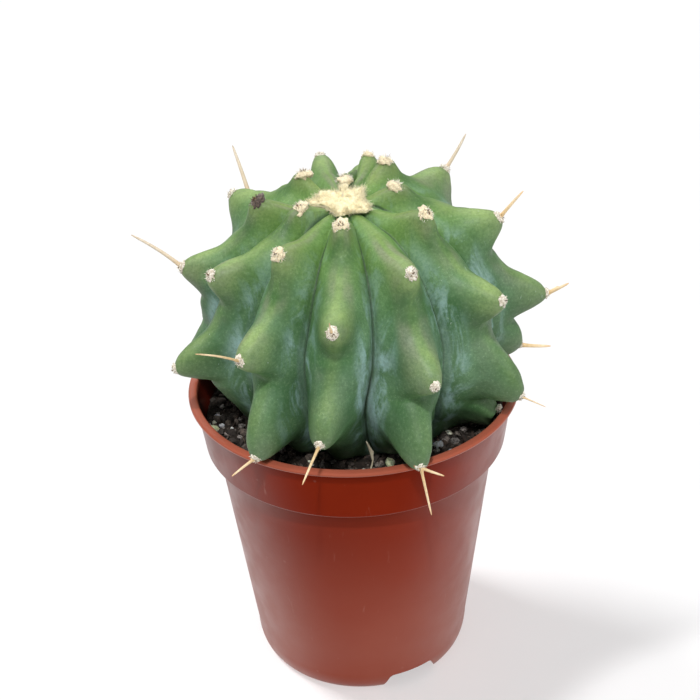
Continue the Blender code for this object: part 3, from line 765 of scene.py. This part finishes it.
def skin(rib, across, polar, droop=NOSE_DROOP):
    """(azimuth, polar angle, depth, nose share) of the skin. across is -1 and 1 in the grooves."""
    crest = rib_azimuth(rib, polar)
    before = (crest + rib_azimuth(rib - 1, polar)) / 2
    after = (crest + rib_azimuth(rib + 1, polar)) / 2
    azimuth = crest + across * np.where(across < 0, crest - before, after - crest)
    side = np.radians(np.abs(azimuth - crest)) * PLANT_RADIUS * np.sin(np.radians(polar))
    crest_depth = between(CREST_DEPTHS, polar) * MM
    fall = between(GROOVE_DEPTHS, polar) * MM - crest_depth
    crease = np.clip((np.abs(across) - CREASE_START) / (1 - CREASE_START), 0, 1)
    depth = crest_depth + fall * np.abs(across) ** FLANK_POWER
    depth = depth + CREASE_DEPTH * np.sin(np.radians(polar)) * crease
    lift, reach = 0.0 * depth, 0.0 * depth
    last = None
    for angle, _, stand_out in RIBS[rib]:
        above = between(NOSE_ABOVE, angle)
        if last is not None:
            above = min(above, NOSE_SPACING * (angle - last))
        last = angle
        middle = angle - droop
        if polar < middle:
            along = ((middle - polar) / (above - droop / 2)) ** NOSE_TOP_BLUNTNESS
        else:
            along = ((polar - middle) / (between(NOSE_BELOW, angle) + droop / 2)) ** 2
        aside = side / between(NOSE_WIDTHS, angle) / MM
        bump = np.exp(-along - aside**NOSE_BLUNTNESS)
        lift = np.maximum(lift, bump)
        reach = np.where(bump >= lift, bump * stand_out * MM, reach)
    return azimuth, polar + droop * lift**1.5, depth * (1 - lift) - reach, lift


def skin_depth(azimuth, polar):
    """Depth of the skin straight under a place on the ball, without the noses' droop."""
    across = np.linspace(-1, 1, RIB_STEPS + 1)[:-1]
    rows = [skin(rib, across, polar, droop=0.0) for rib in range(len(RIBS))]
    azimuths = np.concatenate([row[0] for row in rows])
    depths = np.concatenate([row[2] for row in rows])
    return float(np.interp(azimuth, azimuths, depths, period=360))


def clear_of_rim(points):
    """Lifts what would lie on the pot's lip to just above it."""
    reach = np.hypot(points[..., 0], points[..., 1])
    inner = RIM_RADIUS - LIP_WIDTH - GAP
    lowest = POT_HEIGHT + RIM_CLEARANCE - RIM_SLOPE * np.clip(inner - reach, 0, None)
    near = reach > inner - RIM_MARGIN
    points[..., 2] = np.where(near, np.maximum(points[..., 2], lowest), points[..., 2])
    return points


def skin_bumps(points):
    """How far the skin's unevenness moves each point outward."""
    move = np.zeros(len(points))
    for waves, height in SKIN_BUMPS:
        scale = waves / MM
        move += [height * noise.noise(Vector(p) * scale) for p in points]
    return move


def make_body():
    across = np.linspace(-1, 1, RIB_STEPS + 1)[:-1]
    columns = len(RIBS) * RIB_STEPS
    crest = np.tile(1 - np.abs(across), len(RIBS))
    none, one = np.zeros(columns), np.ones(columns)
    rows, shares = [], []
    for polar in FIRST_ROW + (LAST_ROW - FIRST_ROW) * np.linspace(0, 1, BODY_ROWS):
        parts = [skin(rib, across, float(polar)) for rib in range(len(RIBS))]
        azimuth, angle, depth, lift = (np.concatenate([part[i] for part in parts]) for i in range(4))
        for rib, areoles in enumerate(RIBS):
            below = [(polar - low - DENT_BELOW) / DENT_REACH for low, _, _ in areoles if low > DENTS_FROM]
            own = slice(rib * RIB_STEPS, (rib + 1) * RIB_STEPS)
            dent = sum(math.exp(-(away**2)) for away in below)
            depth[own] += UNDER_DENT * dent * np.exp(-((across / DENT_WIDTH) ** 2))
        flat = ball_point(azimuth, angle, depth)
        bumps = skin_bumps(flat) * math.sin(math.radians(polar))
        rows.append(clear_of_rim(ball_point(azimuth, angle, depth - bumps)))
        shade = [max(math.exp(-(((polar - low - SHADE_BELOW) / SHADE_REACH) ** 2)) for low, _, _ in areoles)
                 for areoles in RIBS]
        shares.append((crest, lift, one * (polar / LAST_ROW), np.repeat(shade, RIB_STEPS) * crest))
    last = rows[-1]
    middle = last.mean(axis=0)
    for height, radius, share in STUMP_ROWS:
        centre = lean([0.0, 0.0, height * MM])
        out = (last - middle)[:, :2]
        reach = np.linalg.norm(out, axis=1, keepdims=True)
        even = radius * MM * (1 + share * (reach / reach.mean() - 1))
        rows.append(np.column_stack([out / reach * even + centre[:2], np.full(columns, centre[2])]))
        shares.append((crest, none, one, none))
    points = np.concatenate(rows)
    body = new_object("cactus_body", points, tube_faces(len(rows), columns), skin_look())
    for name, values in zip(("crest", "nose", "down", "under"), zip(*shares)):
        set_attribute(body, name, np.concatenate(values))
    tips = np.array([nose_tip(rib, areole)[0] for rib, areole in all_areoles()])
    away = np.min([np.linalg.norm(points - place, axis=1) for place in tips], axis=0)
    set_attribute(body, "tip", np.exp(-((away / TIP_REACH) ** 2)))
    finish_piece(body, "cactus", "cactus")


def nose_tip(rib, areole):
    """(point, outward direction) of an areole."""
    angle, azimuth, stand_out = RIBS[rib][areole]
    point = clear_of_rim(ball_point(azimuth, angle, -stand_out * MM)[None])[0]
    out = ball_point(azimuth, angle + PAD_DROOP, -10 * MM) - ball_point(azimuth, angle + PAD_DROOP, 0.0)
    return Vector(point), Vector(out).normalized()


def all_areoles():
    return [(rib, areole) for rib in range(len(RIBS)) for areole in range(len(RIBS[rib]))]


def hair(draw, root, direction, length, radius, curl=0.35):
    """A fine curved hair, pointed at its end."""
    bend = random_axis(draw) * length * curl
    path = [root, root + direction * length * 0.4 + bend * 0.16, root + direction * length * 0.75 + bend * 0.56,
            root + direction * length + bend]
    return tube(path, (radius, radius * 0.85, radius * 0.6, radius * 0.2))


def make_areoles():
    """Ragged felt pads, with tufts and dark stubs of lost spines."""
    draw = random.Random(AREOLE_SEED)
    cream, white, old, hairs, stubs = Heap(), Heap(), Heap(), Heap(), Heap()
    round_points, faces = ball(3)
    for rib, areole in all_areoles():
        point, out = nose_tip(rib, areole)
        angle = RIBS[rib][areole][0]
        radius = float(between(PAD_RADII, angle)) * MM
        is_old = (rib, areole) in OLD_PADS
        turn = out.to_track_quat("Z", "Y").to_matrix()
        offset = Vector((rib * 3.1, areole * 5.7, 0.0))
        points = []
        for p in round_points:
            grow = 0.93 + 0.34 * noise.noise(p * 2.1 + offset) + 0.3 * noise.noise(p * 6.0 + offset)
            points.append(turn @ stretched(p * grow * radius, PAD_STRETCH) + point - out * radius * PAD_SUNK)
        heap = old if is_old else cream if angle < CREAM_PADS_TO else white
        heap.add(points, faces)
        for _ in range(HAIRS_PER_PAD):
            side = turn @ Vector((draw.gauss(0, 1), draw.gauss(0, 1), abs(draw.gauss(0, 0.9)))).normalized()
            root = point - out * radius * (PAD_SUNK + 0.1) + side * radius * draw.uniform(0.45, 0.85)
            tint = draw.uniform(0.5, 1.0) if draw.random() > 0.14 else draw.uniform(0.1, 0.4)
            if is_old or ((rib, areole) in DARK_UNDER_PADS and side.z < 0.25):
                tint = draw.uniform(0.0, 0.2)
            length = radius * draw.uniform(*PAD_HAIR_LENGTHS)
            hairs.add(*hair(draw, root, side, length, draw.uniform(*PAD_HAIR_RADII) * MM), tint)
        dark = 10 if is_old else 8 if (rib, areole) in DARK_EDGED_PADS else 4 if angle > STUBS_FROM else 0
        for _ in range(dark):
            side = (turn @ Vector((draw.gauss(0, 0.5), draw.gauss(0, 0.5), 1.0))).normalized()
            root = point + side * radius * 0.12
            length = radius * draw.uniform(0.3, 0.6)
            path = [root, root + side * length * 0.6, root + side * length]
            stubs.add(*tube(path, (0.17 * MM, 0.13 * MM, 0.05 * MM), sides=5), draw.random())
    pad_looks = (
        (cream, "areole_felt_cream", (0.86, 0.77, 0.54), (0.66, 0.54, 0.36)),
        (white, "areole_felt_white", (0.88, 0.84, 0.74), (0.5, 0.42, 0.32)),
        (old, "areole_felt_old", (0.16, 0.12, 0.10), (0.06, 0.048, 0.043)),
    )
    for heap, name, light, shade in pad_looks:
        heap.build(name, wool_look(name, light, shade, 2200.0), "crown_wool")
    hair_stops = (
        (0.0, (0.035, 0.026, 0.022)), (0.3, (0.3, 0.22, 0.14)), (0.5, (0.8, 0.74, 0.6)), (1.0, (0.95, 0.93, 0.86)),
    )
    hairs.build("areole_hairs", tint_look("areole_hair", 0.7, hair_stops), "crown_wool")
    stub_stops = ((0.0, (0.03, 0.015, 0.008)), (1.0, (0.16, 0.08, 0.035)))
    stubs.build("spine_stubs", tint_look("spine_stub", 0.6, stub_stops), "cactus")


def direction_of(azimuth, rise):
    a, r = math.radians(azimuth), math.radians(rise)
    return Vector((math.sin(a) * math.cos(r), -math.cos(a) * math.cos(r), math.sin(r)))


def spine_shape(draw, root, direction, length, thickness):
    """A stout spine: thickened at its foot, a little bent, and sharp."""
    bend = random_axis(draw)
    bend = (bend - direction * bend.dot(direction)).normalized() * length * draw.uniform(0.01, 0.035)
    path, radii = [], []
    steps = 18
    for step in range(steps + 1):
        share = math.sin(math.pi / 2 * step / steps)
        along = -SPINE_ROOT + (length + SPINE_ROOT) * share
        path.append(root + direction * along + bend * math.sin(math.pi * share))
        taper = SPINE_TIP_RADIUS + (SPINE_RADIUS - SPINE_TIP_RADIUS) * (1 - 0.5 * share) * (1 - share**10) ** 0.6
        foot = 0.15 * MM * math.exp(-((along / (0.9 * MM)) ** 2))
        radii.append(taper * thickness + foot)
    tints = [step / steps for step in range(steps + 1) for _ in range(12)]
    return (*tube(path, radii, sides=12), tints)


def make_spines():
    draw = random.Random(SPINE_SEED)
    wanted = [(nose_tip(rib, areole)[0], direction_of(azimuth, rise), length * MM, thickness, rib in PALE_SPINE_RIBS)
              for rib, areole, length, azimuth, rise, thickness in SPINES]
    for rib in BACK_SPINE_RIBS:
        for areole, (angle, _, _) in enumerate(RIBS[rib]):
            if angle > BACK_SPINE_POLAR:
                root, out = nose_tip(rib, areole)
                wanted.append((root, out, draw.uniform(*BACK_SPINE_LENGTHS), 1.0, True))
    tan, pale = Heap(), Heap()
    for root, direction, length, thickness, is_pale in wanted:
        heap = pale if is_pale else tan
        heap.add(*spine_shape(draw, root, direction, length, thickness))
    tan_stops = (
        (0.0, (0.42, 0.26, 0.1)), (0.2, (0.7, 0.5, 0.26)), (0.55, (0.84, 0.66, 0.43)), (0.9, (0.72, 0.46, 0.22)),
        (1.0, (0.42, 0.2, 0.08)),
    )
    pale_stops = ((0.0, (0.5, 0.36, 0.2)), (0.2, (0.6, 0.5, 0.36)), (0.6, (0.64, 0.56, 0.44)), (1.0, (0.5, 0.4, 0.28)))
    tan.build("spines_tan", tint_look("spine_tan", 0.42, tan_stops), "cactus")
    pale.build("spines_pale", tint_look("spine_pale", 0.5, pale_stops), "cactus")


# Crown wool


def wool_edge(azimuth):
    edge = WOOL_CORE
    for middle, reach, half_width in WOOL_ARMS:
        away = (azimuth - middle + 180) % 360 - 180
        edge += reach * math.exp(-((away / half_width) ** 2))
    return edge


def wool_rest(azimuth, polar):
    around, along = WOOL_REACH
    near = [(azimuth + i * around, max(polar + j * along, 0)) for i in (-1, 0, 1) for j in (-1, 0, 1)]
    return min(skin_depth(a, p) for a, p in near) - WOOL_CLEARANCE


def make_crown_wool():
    """A woolly star over the growing point, tufted and ringed with hairs."""
    draw = random.Random(WOOL_SEED)
    azimuths = [360 * i / WOOL_COLUMNS for i in range(WOOL_COLUMNS)]
    shares = [(ring + 1) / WOOL_RINGS for ring in range(WOOL_RINGS)]
    rests = {}
    for azimuth in azimuths:
        for share in (0.0, 0.5, 1.0):
            rests[azimuth, share] = wool_rest(azimuth, wool_edge(azimuth) * share)
    points = []
    for share, thickness in [(s, 0.0) for s in shares] + [(s, WOOL_THICKNESS) for s in reversed(shares)]:
        for azimuth in azimuths:
            rest = np.interp(share, (0.0, 0.5, 1.0), [rests[azimuth, s] for s in (0.0, 0.5, 1.0)])
            polar = wool_edge(azimuth) * share
            flat = Vector(ball_point(azimuth, polar, rest))
            tuft = 0.55 * noise.noise(flat * (0.55 / MM)) + 0.3 * noise.noise(flat * (1.6 / MM))
            rise = thickness * (WOOL_CROWN - share**2.6) * (1 + tuft)
            points.append(ball_point(azimuth, polar * (1 + 0.12 * tuft), rest - rise))
    look = wool_look("crown_fleece", (0.86, 0.79, 0.53), (0.74, 0.63, 0.38))
    wool = new_object("crown_fleece", points, tube_faces(2 * WOOL_RINGS, WOOL_COLUMNS), look)
    finish_piece(wool, "crown_wool", "crown_wool")
    hairs = Heap()
    for _ in range(WOOL_HAIRS):
        azimuth = draw.uniform(0, 360)
        share = math.sqrt(draw.uniform(0.02, 1.05))
        polar = wool_edge(azimuth) * min(share, 1.0)
        rest = rests[azimuths[int(azimuth // (360 / WOOL_COLUMNS))], 0.5]
        root = Vector(ball_point(azimuth, polar, rest - WOOL_THICKNESS * 0.55 * (1.1 - share**2)))
        out = Vector(ball_point(azimuth, polar + 4, rest)) - Vector(ball_point(azimuth, polar, rest))
        direction = (out.normalized() * share + Vector((0, 0, 1.15 - share)) + random_axis(draw) * 0.45).normalized()
        length = draw.uniform(*WOOL_HAIR_LENGTHS) * MM
        radius = draw.uniform(*WOOL_HAIR_RADII) * MM
        hairs.add(*hair(draw, root, direction, length, radius, curl=0.4), draw.uniform(0.35, 1.0))
    stops = ((0.0, (0.6, 0.48, 0.26)), (0.5, (0.84, 0.76, 0.5)), (1.0, (0.92, 0.88, 0.7)))
    hairs.build("crown_hairs", tint_look("crown_hair", 0.8, stops), "crown_wool")


# Soil


def soil_height(azimuth, radius):
    waves = [math.sin(count * azimuth + phase + radius / MM) for count, phase in SOIL_WAVES]
    return SOIL_LEVEL + SOIL_RELIEF * sum(waves) / len(waves)


def soil_top(x, y):
    height = soil_height(math.atan2(x, -y), math.hypot(x, y))
    for waves, rise in SOIL_BUMPS:
        height += rise * noise.noise(Vector((x, y, 0.0)) * (waves / MM))
    return height


def stump_centre():
    centre = lean([0.0, 0.0, STUMP_ROWS[1][0] * MM])
    return Vector((centre[0], centre[1]))


def make_soil_bed():
    """The fill, with a rough top and a hole for the plant's base."""
    angles = [FULL_TURN * i / SOIL_COLUMNS for i in range(SOIL_COLUMNS)]
    centre = stump_centre()
    low, floor = HOLE_RADIUS_BOTTOM, SOIL_LEVEL - HOLE_DEPTH
    points = [(centre.x + low * math.sin(a), centre.y - low * math.cos(a), floor) for a in angles]
    for ring in range(SOIL_RINGS + 1):
        for a in angles:
            out = Vector((math.sin(a), -math.cos(a)))
            at = (centre + out * HOLE_RADIUS_TOP).lerp(out * SOIL_RADIUS, ring / SOIL_RINGS)
            points.append((at.x, at.y, soil_top(at.x, at.y)))
    for radius, height in reversed(inner_wall()):
        radius -= GAP
        points += [(radius * math.sin(a), -radius * math.cos(a), height + GAP) for a in angles]
    faces = tube_faces(len(points) // SOIL_COLUMNS, SOIL_COLUMNS)
    finish_piece(new_object("peat_bed", points, faces, peat_look()), "soil", "soil")


def place_on_soil(draw, margin):
    """A random place on the soil, clear of the plant and of the pot's wall."""
    a = draw.uniform(0, FULL_TURN)
    out = Vector((math.sin(a), -math.cos(a)))
    nearest = stump_centre() + out * (HOLE_RADIUS_TOP - 1.2 * MM + margin)
    at = nearest.lerp(out * (SOIL_RADIUS - margin), draw.random() ** 0.85)
    return Vector((at.x, at.y, soil_top(at.x, at.y)))


def make_soil_bits():
    draw = random.Random(SOIL_SEED)
    crumbs, bark, roots, perlite = Heap(), Heap(), Heap(), Heap()
    for _ in range(CRUMB_COUNT):
        size = CRUMB_SIZES[0] + (CRUMB_SIZES[1] - CRUMB_SIZES[0]) * draw.random() ** 2.4
        stretch = (draw.uniform(0.8, 1.3), draw.uniform(0.7, 1.1), draw.uniform(0.5, 0.9))
        points, faces = stone(draw, size, stretch)
        place = place_on_soil(draw, size)
        crumbs.add(moved(points, place + Vector((0, 0, size * draw.uniform(0.0, 0.45)))), faces, draw.random())
    for _ in range(BARK_COUNT):
        length = draw.uniform(*BARK_LENGTHS) * MM
        stretch = (draw.uniform(0.22, 0.4), 1.0, draw.uniform(0.1, 0.2))
        points, faces = stone(draw, length / 2, stretch, rounds=2, roughness=0.35)
        place = place_on_soil(draw, length * 0.35)
        bark.add(moved(points, place + Vector((0, 0, 0.5 * MM))), faces, draw.random())
    for x, y, end_x, end_y, thickness, tint in SHOWN_SLIVERS:
        points, faces = stone(draw, thickness * MM, (1.0, 1.0, 0.5), rounds=3, roughness=0.3)
        start, end = Vector((x, y, 0.0)) * MM, Vector((end_x, end_y, 0.0)) * MM
        middle, along = (start + end) / 2, (end - start).normalized()
        reach = (end - start).length / 2 / (thickness * MM)
        points = [p + along * p.dot(along) * (reach - 1) for p in points]
        bark.add(moved(points, middle + Vector((0, 0, soil_top(middle.x, middle.y) + 0.5 * MM))), faces, tint)
    for _ in range(ROOT_COUNT):
        place = place_on_soil(draw, 1.5 * MM)
        along = Vector((draw.uniform(-1, 1), draw.uniform(-1, 1), draw.uniform(-0.1, 0.35))).normalized()
        length = draw.uniform(*ROOT_LENGTHS) * MM
        points, faces = hair(draw, place - Vector((0, 0, 0.2 * MM)), along, length, 0.07 * MM, curl=0.5)
        roots.add(points, faces, draw.random())
    for _ in range(PERLITE_COUNT):
        size = draw.uniform(*PERLITE_SIZES) * MM
        points, faces = stone(draw, size, (1.0, 0.85, 0.75), rounds=2)
        perlite.add(moved(points, place_on_soil(draw, size) + Vector((0, 0, size * 0.3))), faces, draw.random())
    for x, y, size, tint in SHOWN_GRAINS:
        points, faces = stone(draw, size * MM, (1.0, 0.85, 0.8), rounds=2)
        place = Vector((x * MM, y * MM, soil_top(x * MM, y * MM) + size * 0.45 * MM))
        perlite.add(moved(points, place), faces, tint)
    crumbs.build("peat_crumbs", crumb_look(), "soil", smooth=40)
    bark.build("bark_slivers", bark_look(), "soil", smooth=50)
    root_stops = ((0.0, (0.05, 0.03, 0.02)), (1.0, (0.2, 0.13, 0.08)))
    roots.build("root_fibres", tint_look("root_fibre", 0.8, root_stops), "soil")
    perlite.build("perlite_grains", perlite_look(), "soil", smooth=60)


def make_flake():
    """A dried flower scale that stands in the soil."""
    path = [Vector(p) * MM for p in FLAKE_PATH]
    steps, sides = 18, 10
    points = []
    for step in range(steps + 1):
        share = step / steps * (len(path) - 1)
        index = min(int(share), len(path) - 2)
        at = path[index].lerp(path[index + 1], share - index)
        width = np.interp(share, range(len(path)), FLAKE_WIDTHS) * MM
        for side in range(sides):
            a = FULL_TURN * side / sides
            ripple = 1 + 0.25 * noise.noise(Vector((at.z / MM, side * 0.9, 2.0)))
            thin = math.sin(a) * 0.16 * MM + 0.1 * MM * math.cos(2 * a)
            points.append(at + Vector((math.cos(a) * width * ripple, thin, 0)))
    heap = Heap()
    heap.add(points, tube_faces(steps + 1, sides), 0.7)
    stops = ((0.0, (0.25, 0.2, 0.12)), (1.0, (0.6, 0.54, 0.4)))
    heap.build("dried_flake", tint_look("dried_flake", 0.85, stops), "soil")


# Stage


def make_floor():
    corners = [(x * FLOOR_REACH, y * FLOOR_REACH, FLOOR_HEIGHT) for x, y in ((-1, -1), (1, -1), (1, 1), (-1, 1))]
    look = Look("pale_floor", 0.7, Specular_IOR_Level=0.2)
    look.colour((0.9, 0.9, 0.905))
    floor = new_object("floor", corners, [(0, 1, 2, 3)], look.material)
    return floor


def make_camera():
    data = bpy.data.cameras.new("camera")
    data.lens = CAMERA_LENS
    data.sensor_width = CAMERA_SENSOR
    data.clip_start = 0.01
    camera = place_object("camera", data)
    level = CAMERA_FORWARD.to_track_quat("-Z", "Y").to_matrix()
    turn = level @ Matrix.Rotation(math.radians(CAMERA_ROLL), 3, "Z")
    camera.matrix_world = Matrix.Translation(CAMERA_PLACE) @ turn.to_4x4()
    bpy.context.scene.camera = camera


def make_light(kind, name, place, aim, strength, **settings):
    """A lamp that shines from place towards aim. The settings are the ones that its kind has."""
    data = bpy.data.lights.new(name, kind)
    data.energy = strength
    for key, value in settings.items():
        setattr(data, key, value)
    light = place_object(name, data)
    place = Vector(place)
    turn = (Vector(aim) - place).to_track_quat("-Z", "Y").to_matrix().to_4x4()
    light.matrix_world = Matrix.Translation(place) @ turn
    return light


def disk(name, place, aim, strength, size, colour=(1, 1, 1)):
    return make_light("AREA", name, place, aim, strength, shape="DISK", size=size, color=colour)


def spot(name, place, aim, strength, radius, angle, blend):
    shape = {"shadow_soft_size": radius, "spot_size": math.radians(angle), "spot_blend": blend}
    return make_light("SPOT", name, place, aim, strength, **shape)


def even_light(name, place, strength, spread, casts_shadow):
    """A light from far away, as strong all over the floor."""
    shape = {"angle": math.radians(spread), "use_shadow": casts_shadow}
    return make_light("SUN", name, place, (0.0, 0.0, 0.0), strength, **shape)


def make_lights():
    """The plant's and the floor's lights are apart, so that the floor is white up to one soft shadow."""
    plant_lights = (
        disk("background", (0.0, 0.95, 0.8), (0.0, 0.9, 0.0), 4.2, 0.9),
        disk("overhead", (0.1, 0.5, 1.0), (0.02, 0.3, 0.0), 1.6, 0.9),
        disk("key", (-0.55, 0.18, 0.85), (0.0, 0.0, 0.07), 4.2, 0.45, (1.0, 0.99, 0.97)),
        disk("right", (0.75, -0.3, 0.4), (0.0, 0.0, 0.08), 2.5, 0.6),
        disk("front_fill", (-0.055, -0.86, 1.08), (0.0, 0.0, 0.06), 4.2, 0.3),
        spot("front_top", (-0.055, -0.67, 1.175), (-0.004, -0.01, 0.075), 38.0, 0.03, 9.0, 0.3),
    )
    floor_lights = (
        even_light("floor_key", (-0.55, 0.357, 0.755), 1.5, 14.8, True),
        spot("floor_corner", (0.26, -0.45, 1.0), (0.111, -0.096, 0.0), 15.3, 0.005, 8.5, 0.17),
        even_light("floor_fill", (0.0, 0.0, 1.0), 1.84, 1.0, False),
    )
    floor = make_floor()
    for state, lights in (("EXCLUDE", plant_lights), ("INCLUDE", floor_lights)):
        for light in lights:
            receivers = bpy.data.collections.new(light.name + "_receivers")
            receivers.objects.link(floor)
            light.light_linking.receiver_collection = receivers
            receivers.collection_objects[0].light_linking.link_state = state


def make_world():
    """White overhead and behind, and dim low down in front, where the photographer stood."""
    world = bpy.data.worlds.new("studio")
    bpy.context.scene.world = world
    world.use_nodes = True
    tree = world.node_tree
    background = tree.nodes["Background"]
    coordinates = tree.nodes.new("ShaderNodeTexCoord")
    toward = tree.nodes.new("ShaderNodeVectorMath")
    toward.operation = "DOT_PRODUCT"
    tree.links.new(coordinates.outputs["Generated"], toward.inputs[0])
    toward.inputs[1].default_value = BRIGHT_SKY
    ramp = tree.nodes.new("ShaderNodeMapRange")
    ramp.interpolation_type = "SMOOTHSTEP"
    tree.links.new(toward.outputs["Value"], ramp.inputs["Value"])
    for name, value in (("From Min", -0.45), ("From Max", 0.75), ("To Min", 0.05), ("To Max", 0.26)):
        ramp.inputs[name].default_value = value
    tree.links.new(ramp.outputs["Result"], background.inputs["Strength"])
    background.inputs["Color"].default_value = (1.0, 1.0, 1.0, 1.0)


def main():
    make_camera()
    make_world()
    make_lights()
    bpy.context.scene.view_settings.view_transform = "Standard"
    make_pot()
    make_soil_bed()
    make_soil_bits()
    make_flake()
    make_body()
    make_areoles()
    make_spines()
    make_crown_wool()


main()
